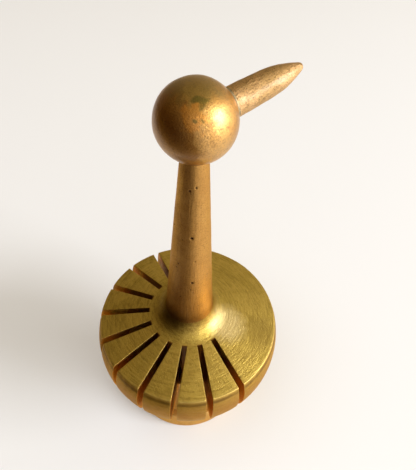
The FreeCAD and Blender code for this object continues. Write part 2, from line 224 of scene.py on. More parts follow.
def vertices(piece):
    """A piece's points as an array."""
    flat = np.empty(len(piece.data.vertices) * 3)
    piece.data.vertices.foreach_get("co", flat)
    return flat.reshape(-1, 3)


def normals(piece):
    """A piece's point normals as an array."""
    flat = np.empty(len(piece.data.vertices) * 3)
    piece.data.vertices.foreach_get("normal", flat)
    return flat.reshape(-1, 3)


def move_points(piece, points):
    """Give a piece new points."""
    piece.data.vertices.foreach_set("co", points.ravel())
    piece.data.update()


def ripple(points, length, seed):
    """Smooth unevenness of about -1 to 1: sine waves of about one length, in directions and phases
    drawn from a seeded generator, added up and divided by the root of their number."""
    draw = np.random.default_rng(seed)
    total = np.zeros(len(points))
    waves = 14
    for _ in range(waves):
        direction = draw.normal(size=3)
        direction /= np.linalg.norm(direction)
        pace = 2 * np.pi / (length * draw.uniform(0.7, 1.5))
        total += np.sin(points @ direction * pace + draw.uniform(0, 2 * np.pi))
    return total / math.sqrt(waves)


def hand_finish(piece, depth, length, seed, true=None):
    """Push the surface in and out by a few hundredths of a millimetre, as a file and emery leave it.
    Where true(points) gives 0 the surface stays true, as a face that turns on another must."""
    points = vertices(piece)
    push = depth * ripple(points, length, seed)
    if true is not None:
        push = push * true(points)
    move_points(piece, points + normals(piece) * push[:, None])


def clear_of_swivel(points):
    """0 at the faces on which the head turns, 1 from a few millimetres away."""
    margin, fade = 0.1 * MM, 4 * MM
    away = np.linalg.norm(points - np.array([0, 0, Z_NECK_TOP]), axis=1) - SEAT_R
    inside = np.hypot(points[:, 0], points[:, 1]) < SEAT_R + margin
    return np.where(inside & (points[:, 2] > Z_NECK_TOP - MM), 0, np.clip(away / fade, 0, 1))


def pit(piece, centres, radii, depths):
    """Sink round casting pits. A point within a pit's radius goes in by the pit's depth times the
    square of (one less the square of its share of the radius)."""
    points, outward = vertices(piece), normals(piece)
    sink = np.zeros(len(points))
    for centre, radius, depth in zip(centres, radii, depths):
        near = np.linalg.norm(points - centre, axis=1) / radius
        sink = np.maximum(sink, depth * np.clip(1 - near ** 2, 0, 1) ** 2)
    move_points(piece, points - outward * sink[:, None])
    return sink


def attribute(piece, name, values):
    """Store one number per point, which a material can read."""
    layer = piece.data.attributes.new(name, "FLOAT", "POINT")
    layer.data.foreach_set("value", np.asarray(values, np.float32))


# ---------------------------------------------------------------- the body disc
def slot_half_width(along):
    """Half of a slot's width at a distance along it from the axis: it widens towards the rim."""
    share = (along - SLOT_INNER_R) / (BODY_R - SLOT_INNER_R)
    return (SLOT_INNER_W + (SLOT_OUTER_W - SLOT_INNER_W) * share) / 2


def cone_height(radius):
    """Height of the disc's conical top at a distance from the axis: its edge plus the slope."""
    return BODY_EDGE_Z + (BODY_R - radius) * math.tan(TOP_SLOPE)


def disc_outlines():
    """The disc's outline in two halves: outside the slots' inner ends, and the hub within them."""
    step = 0.7 * MM
    inner_top = np.array([SLOT_INNER_R, cone_height(SLOT_INNER_R)])
    edge = np.array([BODY_R, BODY_EDGE_Z])
    bottom_edge = np.array([BODY_BOTTOM_R, Z_DISC])
    belly = arc_through(edge, bottom_edge, BELLY_ARC, 1, step)
    rim = corner(inner_top, edge, belly[1], RIM_ROUND, 7)
    foot = corner(belly[-3], bottom_edge, [0, Z_DISC], BOTTOM_ROUND, 9)
    inside = (belly[:, 1] < rim[-1, 1] - 0.1 * MM) & (belly[:, 1] > foot[0, 1] + 0.3 * MM)
    top = line(inner_top, rim[0], step)
    bottom = line(foot[-1], [SLOT_INNER_R, Z_DISC], 0.9 * MM)
    outer = joined(top, rim, belly[inside], foot, bottom)
    start_angle = math.atan2(Z_JOINT - COLLAR_C[1], JOINT_R - COLLAR_C[0]) + 2 * math.pi
    end_angle = 1.5 * math.pi - TOP_SLOPE
    collar = arc(COLLAR_C, COLLAR_ARC, start_angle, end_angle, 0.5 * MM)
    socket_r = NECK_SPIGOT_R + FIT_GAP
    below_r = SPIGOT_R + FIT_GAP
    hub = joined(
        line([SLOT_INNER_R, Z_DISC], [below_r, Z_DISC], 1.5 * MM),
        [below_r, Z_DISC + SOCKET_DEPTH],
        [ROD_HOLE_R, Z_DISC + SOCKET_DEPTH],
        line([ROD_HOLE_R, Z_DISC + SOCKET_DEPTH], [ROD_HOLE_R, Z_JOINT - SOCKET_DEPTH], 4 * MM),
        [socket_r, Z_JOINT - SOCKET_DEPTH],
        [socket_r, Z_JOINT],
        [JOINT_R, Z_JOINT],
        collar[1:],
        line(collar[-1], inner_top, step),
    )
    return outer, hub


def outward(outline):
    """Unit normals of an outline, to the left of its run."""
    run = np.gradient(outline, axis=0)
    run /= np.linalg.norm(run, axis=1, keepdims=True)
    return np.stack([-run[:, 1], run[:, 0]], axis=1)


def slot_angle(number):
    """Direction a slot runs in, counted from 0; their outer ends fan out about the tail's middle."""
    middle = math.pi - math.asin(SLOT_OFFSET / BODY_R)
    return middle + (number - (SLOT_COUNT - 1) / 2) * SLOT_PITCH


def petal(outer, first, last, columns):
    """One petal between two slots. Its side points lie on the slots' walls, at across = half the
    slot's width plus the distance from the wall, and the last few hundredths are rounded off."""
    radius = outer[:, 0][:, None]
    near = np.array([0, 0.08, 0.25, 0.55, 1.0]) * SLOT_EDGE
    half = slot_half_width(radius)
    left = slot_angle(first) + np.arcsin((SLOT_OFFSET + half + near) / radius)
    right = slot_angle(last) + np.arcsin((SLOT_OFFSET - half - near[::-1]) / radius)
    right += 2 * np.pi * (last < first)
    share = np.linspace(0, 1, columns)[1:-1]
    middle = left[:, -1:] + (right[:, :1] - left[:, -1:]) * share
    angle = np.concatenate([left, middle, right], axis=1)
    drop = SLOT_EDGE - np.sqrt(SLOT_EDGE ** 2 - (SLOT_EDGE - near) ** 2)
    drop = np.concatenate([drop, np.zeros(len(share)), drop[::-1]])
    ends = np.minimum(np.arange(len(outer)), np.arange(len(outer))[::-1])
    drop = drop[None, :] * np.clip(ends / 2, 0, 1)[:, None]
    normal = outward(outer)
    across = radius - normal[:, 0][:, None] * drop
    height = outer[:, 1][:, None] - normal[:, 1][:, None] * drop
    return np.stack([across * np.cos(angle), across * np.sin(angle), height], axis=-1), angle[0]


def make_body_disc():
    """Nine petals and the plain front, the slots' walls and ends, and the hub, welded together."""
    petal_columns, front_columns, end_columns, wall_rows = 22, 150, 5, 9
    outer, hub = disc_outlines()
    patches = []
    ring = []
    levels = np.linspace(0, 1, wall_rows)
    for number in range(SLOT_COUNT):
        following = (number + 1) % SLOT_COUNT
        columns = petal_columns if following else front_columns
        grid, angles = petal(outer, number, following, columns)
        patches.append(grid)
        for side in (0, -1):
            patches.append(wall_grid(grid[:, side], levels))
        across = SLOT_OFFSET + np.linspace(-1, 1, end_columns) * SLOT_INNER_W / 2
        slot_end = slot_angle(number) + np.arcsin(across / SLOT_INNER_R)
        ring += [slot_end, angles]
        heights = outer[0, 1] + (outer[-1, 1] - outer[0, 1]) * levels
        upright = np.stack([np.full_like(heights, SLOT_INNER_R), heights], axis=1)
        patches.append(turned_grid(upright, slot_end))
    same_angle = 1e-7
    angle = np.concatenate(ring)
    angle = angle[np.r_[True, np.abs(np.diff(angle)) > same_angle]]
    angle[-1] = angle[0] + 2 * np.pi
    patches.append(turned_grid(hub, angle))
    disc = surface("tail_disc", patches)
    hand_finish(disc, 0.035 * MM, 16 * MM, 3)
    mark_disc(disc)
    return disc


def wall_grid(column, levels):
    """A slot's wall: each point of a petal's side above the belly is joined by a straight run to its
    partner below. The shorter half repeats its last point, the belly's widest."""
    widest = int(np.argmax(np.hypot(column[:, 0], column[:, 1])))
    halves = [column[: widest + 1], column[widest:][::-1]]
    count = max(len(half) for half in halves)
    top, below = [np.concatenate([half, np.repeat(half[-1:], count - len(half), 0)]) for half in halves]
    return top[None] + (below - top)[None] * levels[:, None, None]


def mark_disc(disc):
    """Store where the disc is worn bright, at its edges, and where it is painted dark: a painted dark
    reflection under the rim, dirt and painted shade in the corner round the neck, and painted shade
    inside the slots. Each fades over its own width."""
    slot_wear, rim_wear, corner_fade = 0.35 * MM, 0.9 * MM, 3.5 * MM
    wall_fade, slot_fade, clean_from = 6 * MM, 10 * MM, 0.94 * BODY_R
    band_drop, band_width = 2.2 * MM, 1.3 * MM
    side_from, side_share, steep = 0.9 * BODY_R, 0.7, 0.8
    far_off, touching = 10 * MM, 0.02 * MM
    points = vertices(disc)
    radius = np.hypot(points[:, 0], points[:, 1])
    angle = np.arctan2(points[:, 1], points[:, 0]) % (2 * np.pi)
    lead = np.arcsin(np.clip(SLOT_OFFSET / np.maximum(radius, MM), -1, 1))
    number = np.clip(np.round((angle - lead - slot_angle(0)) / SLOT_PITCH), 0, SLOT_COUNT - 1)
    off = angle - (slot_angle(0) + number * SLOT_PITCH)
    along = radius * np.cos(off)
    across = np.abs(radius * np.sin(off) - SLOT_OFFSET)
    beyond_hub = radius > SLOT_INNER_R - 0.1 * MM
    gap = np.where(beyond_hub, across - slot_half_width(along), far_off)
    attribute(disc, "slot_edge", np.exp(-np.clip(gap, 0, None) / slot_wear))
    edge = np.hypot(radius - BODY_R, points[:, 2] - BODY_EDGE_Z)
    attribute(disc, "rim_edge", np.exp(-edge / rim_wear))
    # painted reflection: a dark band just under the rim, where the dim room would show
    below = BODY_EDGE_Z - band_drop - points[:, 2]
    attribute(disc, "painted_rim_reflection", np.where(radius > BODY_R, np.exp(-(below / band_width) ** 2), 0))
    # the slot walls' own redder tone, laid on more fully with depth as painted shade, and painted shade
    # towards the slots' inner ends
    depth = np.clip((cone_height(radius) - points[:, 2]) / wall_fade, 0, 1)
    inside = (gap < touching) & beyond_hub
    attribute(disc, "slot_wall", inside * (0.5 + 0.5 * depth))
    attribute(disc, "slot_shade", inside * np.clip((clean_from - radius) / slot_fade, 0, 1))
    # dirt and painted shade in the corner round the neck
    attribute(disc, "corner", np.exp(-np.clip(radius - JOINT_R, 0, None) / corner_fade))
    upright = 1 - np.clip(np.abs(normals(disc)[:, 2]) / steep, 0, 1)
    attribute(disc, "side", np.where(radius > side_from, side_share * upright, 0))


# ---------------------------------------------------------------- the other pieces
def lathe(name, outline, columns):
    """A turned piece: its outline carried once round the upright axis."""
    return surface(name, [turned_grid(outline, np.linspace(0, 2 * np.pi, columns + 1))])


def make_neck():
    """The neck: it ends the collar's curve at its foot, tapers to the head, and has casting pits,
    small ones at random and larger ones at (degrees round, height and radius in mm)."""
    start_angle = math.atan2(Z_JOINT - COLLAR_C[1], JOINT_R - COLLAR_C[0])
    foot = arc(COLLAR_C, COLLAR_ARC, start_angle % (2 * math.pi), math.pi, 0.35 * MM)
    top = [NECK_TOP_R, Z_NECK_TOP]
    shoulder = corner(foot[-1], top, [0, Z_NECK_TOP], 0.4 * MM)
    outline = joined(
        [0, Z_JOINT + ROD_HOLE_TOP],
        [ROD_R, Z_JOINT + ROD_HOLE_TOP],
        [ROD_R, Z_JOINT - SPIGOT_LENGTH],
        [NECK_SPIGOT_R, Z_JOINT - SPIGOT_LENGTH],
        [NECK_SPIGOT_R, Z_JOINT],
        foot,
        line(foot[-1], shoulder[0], 0.42 * MM),
        shoulder,
        [STUD_R, Z_NECK_TOP],
        [STUD_R, Z_NECK_TOP - STUD_HOLE_DEPTH],
        [0, Z_NECK_TOP - STUD_HOLE_DEPTH],
    )
    neck = lathe("neck_casting", outline, 150)
    hand_finish(neck, 0.04 * MM, 14 * MM, 5, clear_of_swivel)
    draw = np.random.default_rng(11)
    small_pits = 46
    height = Z_JOINT + draw.uniform(0.02, 0.95, small_pits) * (Z_NECK_TOP - Z_JOINT)
    angle = draw.uniform(0, 2 * np.pi, small_pits)
    radii = draw.uniform(0.3, 0.6, small_pits) * MM
    larger = np.array([[-134, 82.6, 0.65], [-121, 58.9, 0.9], [-158, 41.8, 0.6], [-162, 39.0, 0.5],
                       [-116, 31.0, 0.85], [-120, 26.0, 0.55], [-109, 45.0, 0.5], [-112, 24.0, 0.45],
                       [40, 51.0, 0.8], [70, 22.0, 0.7], [118, 66.0, 0.6]])
    height = np.concatenate([height, Z_JOINT + larger[:, 1] * MM])
    angle = np.concatenate([angle, larger[:, 0] * DEG])
    radii = np.concatenate([radii, larger[:, 2] * MM])
    taper = (NECK_FOOT_R - NECK_TOP_R) / (Z_NECK_TOP - COLLAR_C[1])
    radius = NECK_FOOT_R - (height - COLLAR_C[1]) * taper
    centres = np.stack([radius * np.cos(angle), radius * np.sin(angle), height], axis=1)
    pit_depth, dark_from, corner_fade = 0.7, 0.25 * MM, 8 * MM
    sunk = pit(neck, centres, radii, radii * pit_depth)
    attribute(neck, "pit", np.clip(sunk / dark_from, 0, 1))
    # dirt and painted shade in the corner at the neck's foot
    attribute(neck, "corner", np.exp(-np.clip(vertices(neck)[:, 2] - Z_JOINT, 0, None) / corner_fade))
    return neck


def make_ball():
    """The head: a ball with its flat seat and bore below."""
    start = math.asin(-math.sqrt(BALL_R ** 2 - SEAT_R ** 2) / BALL_R)
    shell = arc([0, BALL_C[2]], BALL_R, start, math.pi / 2, 0.45 * MM)
    bore_r = STUD_R + FIT_GAP
    seat_z = Z_NECK_TOP + SEAT_GAP
    outline = joined(
        [0, Z_NECK_TOP + STUD_BORE_DEPTH],
        [bore_r, Z_NECK_TOP + STUD_BORE_DEPTH],
        [bore_r, seat_z],
        [SEAT_R, seat_z],
        shell,
    )
    outline[-1, 0] = 0
    ball = lathe("head_ball_casting", outline, 190)
    hand_finish(ball, 0.03 * MM, 9 * MM, 7, clear_of_swivel)
    return ball


def beak_outline():
    """The beak's outline about its own axis, from the ball's centre: a straight root, a long flat
    arc to the tip, and a round tip."""
    root = math.sqrt(BALL_R ** 2 - BEAK_ROOT_R ** 2)
    land_end = root + 1.2 * MM
    tip_r, tip_tilt, side_arc = 1.45 * MM, 25 * DEG, 37 * MM
    shoulder = [4.85 * MM, 25.5 * MM]
    tip_start = [tip_r * math.cos(tip_tilt), BEAK_REACH - tip_r * (1 - math.sin(tip_tilt))]
    seat = arc([0, 0], BALL_R, math.pi / 2, math.acos(BEAK_ROOT_R / BALL_R), 1 * MM)
    seat[0, 0] = 0
    tip = arc([0, BEAK_REACH - tip_r], tip_r, tip_tilt, math.pi / 2, 0.25 * MM)
    tip[-1, 0] = 0
    return joined(
        seat,
        line([BEAK_ROOT_R, root], [BEAK_ROOT_R, land_end], 0.4 * MM),
        line([BEAK_ROOT_R, land_end], shoulder, 0.4 * MM),
        arc_through(shoulder, tip_start, side_arc, -1, 0.4 * MM),
        tip,
    )


def onto_beak_axis(piece):
    """Lean a piece drawn about the upright axis onto the beak's axis, from the ball's centre."""
    lean = Matrix.Translation(BALL_C) @ Matrix.Rotation(math.pi / 2 - BEAK_LIFT, 4, "Y")
    piece.data.transform(lean)
    piece.data.update()


def make_beak():
    """The beak: a bullet with the grain of its casting."""
    beak = lathe("beak_casting", beak_outline(), 96)
    onto_beak_axis(beak)
    hand_finish(beak, 0.05 * MM, 7 * MM, 13)
    hand_finish(beak, 0.02 * MM, 2.2 * MM, 17)
    return beak


def make_solder():
    """The solder: a ring in the corner between ball and beak. Its width is uneven round the root
    (two sine waves), and its face sags by about a fifth of the width."""
    columns, rows, sag_share = 120, 7, 0.22
    angle = np.linspace(0, 2 * np.pi, columns + 1)
    width = 0.75 + 0.22 * np.sin(2 * angle + 0.6) + 0.13 * np.sin(5 * angle + 2.0)
    width = np.clip(width, 0.35, 1.0) * MM
    foot_r = BEAK_ROOT_R + width
    foot = np.sqrt(BALL_R ** 2 - foot_r ** 2)
    root = math.sqrt(BALL_R ** 2 - BEAK_ROOT_R ** 2)
    share = np.linspace(0, 1, rows)[:, None]
    sag = sag_share * width * np.sin(np.pi * share)
    radius = foot_r + (BEAK_ROOT_R - foot_r) * share - sag
    along = foot + (root + width - foot) * share - sag
    under_r = BEAK_ROOT_R + (foot_r - BEAK_ROOT_R) * share
    under = np.sqrt(BALL_R ** 2 - under_r ** 2)
    side = np.broadcast_to(np.full_like(angle, BEAK_ROOT_R), (2, len(angle)))
    side_z = np.stack([root + width, np.full_like(width, root)])
    rings = [(radius, along), (side, side_z), (under_r, under)]
    patches = [
        np.stack([r * np.cos(angle), r * np.sin(angle), np.broadcast_to(z, r.shape)], axis=-1)
        for r, z in rings
    ]
    ring = surface("solder_ring", patches)
    onto_beak_axis(ring)
    return ring


def make_base():
    """The foot: a thick disc with a gently rounded side, recessed below for pad and nut."""
    recess_r = PAD_R + PAD_GAP
    pad_top = Z_BASE + PAD_RECESS
    side = arc_through([BASE_BOTTOM_R, Z_BASE], [BASE_TOP_R, Z_STEM], 30 * MM, -1, 0.5 * MM)
    rim = corner(side[-2], side[-1], [0, Z_STEM], 0.8 * MM, 7)
    foot = corner([0, Z_BASE], side[0], side[1], 0.5 * MM, 5)
    middle = side[(side[:, 1] > foot[-1, 1] + 0.1 * MM) & (side[:, 1] < rim[0, 1] - 0.1 * MM)]
    spigot_top = Z_STEM + SPIGOT_LENGTH
    outline = joined(
        [recess_r, Z_BASE],
        foot,
        middle,
        rim,
        line(rim[-1], [SPIGOT_R, Z_STEM], 1 * MM),
        [SPIGOT_R, spigot_top],
        [ROD_HOLE_R, spigot_top],
        [ROD_HOLE_R, NUT_RECESS_TOP],
        [NUT_RECESS_R, NUT_RECESS_TOP],
        [NUT_RECESS_R, pad_top],
        [recess_r, pad_top],
        [recess_r, Z_BASE],
    )
    base = lathe("foot_plate", outline, 220)
    hand_finish(base, 0.03 * MM, 15 * MM, 19)
    return base


def make_stem():
    """The stem: a spool, two arcs that meet upright at its waist."""
    bevel = 0.2 * MM
    waist_z = (Z_STEM + Z_DISC) / 2
    foot, head = [STEM_FOOT_R, Z_STEM + STEM_LAND], [STEM_HEAD_R, Z_DISC - STEM_LAND]
    waist = [STEM_WAIST_R, waist_z]
    low_arc = flare_radius(foot, waist)
    high_arc = flare_radius(head, waist)
    socket = SPIGOT_R + FIT_GAP
    outline = joined(
        [socket, Z_STEM],
        [STEM_FOOT_R - bevel, Z_STEM],
        [STEM_FOOT_R, Z_STEM + bevel],
        arc_through(foot, waist, low_arc, 1, 0.6 * MM),
        arc_through(waist, head, high_arc, 1, 0.6 * MM),
        [STEM_HEAD_R, Z_DISC - bevel],
        [STEM_HEAD_R - bevel, Z_DISC],
        [SPIGOT_R, Z_DISC],
        [SPIGOT_R, Z_DISC + SPIGOT_LENGTH],
        [ROD_HOLE_R, Z_DISC + SPIGOT_LENGTH],
        [ROD_HOLE_R, Z_STEM + SOCKET_DEPTH],
        [socket, Z_STEM + SOCKET_DEPTH],
        [socket, Z_STEM],
    )
    stem = lathe("stem_spool", outline, 180)
    hand_finish(stem, 0.03 * MM, 15 * MM, 23)
    return stem


def flare_radius(end, waist):
    """Radius of the arc that is upright at the waist and passes through a flare's end."""
    across, up = end[0] - waist[0], end[1] - waist[1]
    return (across ** 2 + up ** 2) / (2 * across)


def make_pad():
    """The felt pad: a pressed disc with soft edges."""
    top = high("felt_pad")[2]
    outline = rounded(
        [[0, 0], [PAD_R, 0], [PAD_R, top], [0, top]],
        [0, 0.5 * MM, 0.2 * MM, 0],
        1.2 * MM,
    )
    return lathe("felt_disc", outline, 140)


# ---------------------------------------------------------------- materials
def shade(text):
    """A colour written as sRGB hex, as linear light."""
    value = np.array([int(text[i:i + 2], 16) / 255 for i in (1, 3, 5)])
    linear = np.where(value <= 0.04045, value / 12.92, ((value + 0.055) / 1.055) ** 2.4)
    return (*linear, 1.0)


def add(tree, kind, inputs=None, out=0, **settings):
    """Add a node with its settings, set or link its inputs, and give back one of its outputs, or
    the node itself where out is None."""
    made = tree.nodes.new("ShaderNode" + kind)
    for key, value in settings.items():
        setattr(made, key, value)
    for key, value in (inputs or {}).items():
        if isinstance(value, bpy.types.NodeSocket):
            tree.links.new(value, made.inputs[key])
        else:
            made.inputs[key].default_value = value
    return made if out is None else made.outputs[out]


def paint(tree, colour, films):
    """Lay films over a colour, one after another. Each is (value, bare, full, cover, colour): it
    covers nothing where value is bare and the share cover where value is full."""
    for value, bare, full, cover, film in films:
        share = add(tree, "MapRange", {"Value": value, "From Min": bare, "From Max": full,
                                       "To Max": cover}, interpolation_type="SMOOTHSTEP")
        colour = add(tree, "Mix", {"Factor": share, 6: colour, 7: film}, 2, data_type="RGBA")
    return colour


def new_material(name, metallic, roughness):
    """An empty material with its shader and object coordinates."""
    material = bpy.data.materials.new(name)
    material.use_nodes = True
    tree = material.node_tree
    tree.nodes.clear()
    shader = add(tree, "BsdfPrincipled", {"Metallic": metallic, "Roughness": roughness}, None)
    add(tree, "OutputMaterial", {"Surface": shader.outputs[0]}, None)
    place = add(tree, "TexCoord", out="Object")
    return material, tree, shader, place


def ring_coordinates(tree, place):
    """(distance from the upright axis, a small share of the angle, height): a pattern hardly changes
    along the angle, as in the marks left by turning."""
    parts = add(tree, "SeparateXYZ", {0: place}, None).outputs
    flat = add(tree, "VectorMath", {0: place, 1: (1, 1, 0)}, operation="MULTIPLY")
    radius = add(tree, "VectorMath", {0: flat}, "Value", operation="LENGTH")
    angle = add(tree, "Math", {0: parts[1], 1: parts[0]}, operation="ARCTAN2")
    angle_share = add(tree, "Math", {0: angle, 1: 0.004}, operation="MULTIPLY")
    return add(tree, "CombineXYZ", {0: radius, 1: angle_share, 2: parts[2]})


def aged_brass(name, bright, tarnish, deep, rough, marks=None, patchy=0.6, mottled=0.3, grain=0.5,
               relief=0.15, scored=0.0, lacquer=0.3):
    """Yellow brass, cast, filed and left to tarnish: bright metal under a thin film that comes and
    goes over centimetres (patchy), clouds of a few millimetres (mottled), the grain of the casting
    and small dark specks. Scratches catch the light and hold dirt (scored, 0 to 1), relief is the
    depth of grain and scratches in mm, and lacquer is what is left of a clear coat. Rough is the
    roughness of bare metal and of the film; the specular tint keeps the metal yellow at its edges."""
    film_size, mottle_size, grit_size, speck_size = 14 * MM, 2.2 * MM, 0.55 * MM, 0.9 * MM
    mottle_share = 0.14           # how far the clouds change the roughness
    dull, duller = (level - mottle_share / 2 for level in rough)
    material, tree, shader, place = new_material(name, 1.0, rough[0])
    film = add(tree, "TexNoise", {"Vector": place, "Scale": 1 / film_size, "Detail": 5.0,
                                  "Roughness": 0.6, "Distortion": 0.4})
    mottle = add(tree, "TexNoise", {"Vector": place, "Scale": 1 / mottle_size, "Detail": 4.0,
                                    "Roughness": 0.65})
    grit = add(tree, "TexNoise", {"Vector": place, "Scale": 1 / grit_size, "Detail": 3.0,
                                  "Roughness": 0.7})
    specks = add(tree, "TexNoise", {"Vector": place, "Scale": 1 / speck_size, "Detail": 2.0,
                                    "Roughness": 0.5})
    colour = paint(tree, shade(bright), [
        (film, 0.38, 0.66, patchy, shade(tarnish)),
        (mottle, 0.45, 0.80, mottled, shade(deep)),
        (grit, 0.48, 0.72, grain, shade(deep)),
        (specks, 0.70, 0.78, 0.5, shade(deep)),
    ])
    height = add(tree, "Math", {0: grit, 1: 0.3 + grain}, operation="MULTIPLY")
    if marks is not None:
        scratches = marks(tree, place)
        height = add(tree, "Math", {0: height, 1: scratches}, operation="ADD")
        colour = paint(tree, colour, [
            (scratches, 0.50, 0.58, scored, shade(bright)),
            (scratches, 0.50, 0.42, 0.5 * scored, shade(deep)),
        ])
    dullness = add(tree, "MapRange", {"Value": film, "From Min": 0.38, "From Max": 0.66,
                                      "To Min": dull, "To Max": duller},
                   interpolation_type="SMOOTHSTEP")
    level = add(tree, "Math", {0: mottle, 1: mottle_share, 2: dullness}, operation="MULTIPLY_ADD")
    bump = add(tree, "Bump", {"Strength": 1.0, "Distance": relief * MM, "Height": height})
    tree.links.new(level, shader.inputs["Roughness"])
    tree.links.new(bump, shader.inputs["Normal"])
    shader.inputs["Specular Tint"].default_value = shade("#E6C48C")
    shader.inputs["Coat Weight"].default_value = lacquer
    shader.inputs["Coat Roughness"].default_value = 0.32
    return material, tree, shader, place, colour


def emery_marks(tree, place):
    """Scratches of emery cloth, about 1 mm apart: mostly arcs round the neck, some straight ones
    across them. Drawn coarser than life so that they show. The mean value is a half."""
    total = add(tree, "TexNoise", {"Vector": ring_coordinates(tree, place), "Scale": 1 / (0.9 * MM),
                                   "Detail": 3.0, "Roughness": 0.6})
    total = add(tree, "Math", {0: total, 1: 0.56}, operation="MULTIPLY")
    for turn, thin, spacing in ((24 * DEG, 0.04, 1.1 * MM), (-38 * DEG, 0.05, 1.5 * MM)):
        along = add(tree, "Mapping", {"Vector": place, "Rotation": (0, 0, turn), "Scale": (1, thin, 1)})
        straight = add(tree, "TexNoise", {"Vector": along, "Scale": 1 / spacing, "Detail": 3.0,
                                          "Roughness": 0.55})
        total = add(tree, "Math", {0: straight, 1: 0.22, 2: total}, operation="MULTIPLY_ADD")
    return total


def lathe_marks(tree, place):
    """Rings left by the lathe tool and by emery held against the turning piece."""
    return add(tree, "TexNoise", {"Vector": ring_coordinates(tree, place), "Scale": 1 / (0.8 * MM),
                                  "Detail": 3.0, "Roughness": 0.6})


def long_marks(tree, place):
    """Scratches that run up and down a tall piece."""
    upright = add(tree, "Mapping", {"Vector": place, "Scale": (1.0, 1.0, 0.06)})
    return add(tree, "TexNoise", {"Vector": upright, "Scale": 1 / (0.8 * MM), "Detail": 3.0,
                                  "Roughness": 0.6})


def distance_from(tree, place, centre, ragged):
    """Distance in metres from a point given in mm, made uneven by up to ragged mm."""
    wander = add(tree, "TexNoise", {"Vector": place, "Scale": 1 / (2.5 * MM), "Detail": 4.0}, "Color")
    off = add(tree, "VectorMath", {0: wander, 1: (0.5, 0.5, 0.5)}, operation="SUBTRACT")
    shift = add(tree, "VectorMath", {0: off, "Scale": ragged * MM}, operation="SCALE")
    moved = add(tree, "VectorMath", {0: place, 1: shift}, operation="ADD")
    return add(tree, "VectorMath", {0: moved, 1: Vector(centre) * MM}, "Value", operation="DISTANCE")


def disc_brass():
    """The disc's brass: olive-gold and emery-scratched on top, tan on its side; brighter on its worn
    edges; a painted highlight beside the collar and painted shade towards the rim on the right; a
    painted dark reflection under the rim, dirt and painted shade round the neck's foot, and red-brown
    slot walls under painted shade that deepens towards their inner ends."""
    material, tree, shader, place, colour = aged_brass(
        "olive_gold_brass", "#CBB05A", "#A28A36", "#66480E", (0.40, 0.52), emery_marks, patchy=0.5,
        mottled=0.25, grain=0.3, relief=0.36, scored=0.5, lacquer=0.2)
    side, painted_rim_reflection, rim_edge, slot_edge, corner_dirt_and_shade, slot_wall, slot_shade = (
        add(tree, "Attribute", out="Fac", attribute_name=name)
        for name in ("side", "painted_rim_reflection", "rim_edge", "slot_edge", "corner", "slot_wall", "slot_shade"))
    patches = add(tree, "TexNoise", {"Vector": place, "Scale": 1 / (5 * MM), "Detail": 3.0})
    # painted reflection: the dark band under the rim, made patchy
    dark_reflection_band = add(tree, "Math", {0: painted_rim_reflection, 1: patches}, operation="MULTIPLY")
    # painted highlight: a pale patch at the right front beside the collar, where the window's light
    # shines
    painted_highlight_patch = distance_from(tree, place, (13, -16, 78), 6.0)
    # painted shade: a darker patch towards the rim on the right front
    painted_shade_patch = distance_from(tree, place, (27, -27, 74), 8.0)
    # painted shade: a dark patch at the front left of the neck's foot
    painted_foot_shade = distance_from(tree, place, (-11, -3, 85), 3.0)
    colour = paint(tree, colour, [
        # painted highlight beside the collar
        (painted_highlight_patch, 13 * MM, 4 * MM, 0.6, shade("#EFDCA6")),
        # painted shade towards the rim on the right
        (painted_shade_patch, 12 * MM, 5 * MM, 0.45, shade("#8A7236")),
        (side, 0.0, 1.0, 1.0, shade("#B07A3C")),
        # painted dark reflection under the rim
        (dark_reflection_band, 0.1, 0.5, 0.6, shade("#4E3210")),
        (rim_edge, 0.0, 1.0, 0.2, shade("#E6C883")),
        (slot_edge, 0.0, 1.0, 0.12, shade("#D9B768")),
        # dirt and painted shade in the corner round the neck
        (corner_dirt_and_shade, 0.0, 1.0, 0.5, shade("#55380F")),
        # painted shade at the front left of the neck's foot
        (painted_foot_shade, 10 * MM, 2 * MM, 0.6, shade("#2E1C08")),
        # slot walls: their own redder tone, stronger with depth as painted shade; then painted shade
        # towards the inner ends
        (slot_wall, 0.0, 1.0, 1.0, shade("#DA9A44")),
        (slot_shade, 0.0, 1.0, 0.6, shade("#542610")),
    ])
    tree.links.new(colour, shader.inputs["Base Color"])
    return material


def neck_brass():
    """The neck's brass: a redder casting with upright rubbing marks and dark casting pits; dirt and
    painted shade in the corner at its foot, and painted shade at the foot's front left.
    """
    material, tree, shader, place, colour = aged_brass(
        "orange_cast_brass", "#CA9B57", "#B28445", "#6C4216", (0.42, 0.52), long_marks, patchy=0.6,
        mottled=0.15, grain=0.5, relief=0.16, scored=0.05, lacquer=0.2)
    # dirt and painted shade in the corner at the neck's foot
    corner_dirt_and_shade = add(tree, "Attribute", out="Fac", attribute_name="corner")
    pits = add(tree, "Attribute", out="Fac", attribute_name="pit")
    # painted shade: a dark patch at the front left of the neck's foot
    painted_foot_shade = distance_from(tree, place, (-11, -3, 85), 3.0)
    colour = paint(tree, colour, [
        # dirt and painted shade in the corner at the foot
        (corner_dirt_and_shade, 0.0, 1.0, 0.6, shade("#55380F")),
        # painted shade at the front left of the neck's foot
        (painted_foot_shade, 11 * MM, 2 * MM, 0.6, shade("#2E1C08")),
        (pits, 0.0, 1.0, 1.0, shade("#3A2410")),
    ])
    tree.links.new(colour, shader.inputs["Base Color"])
    return material


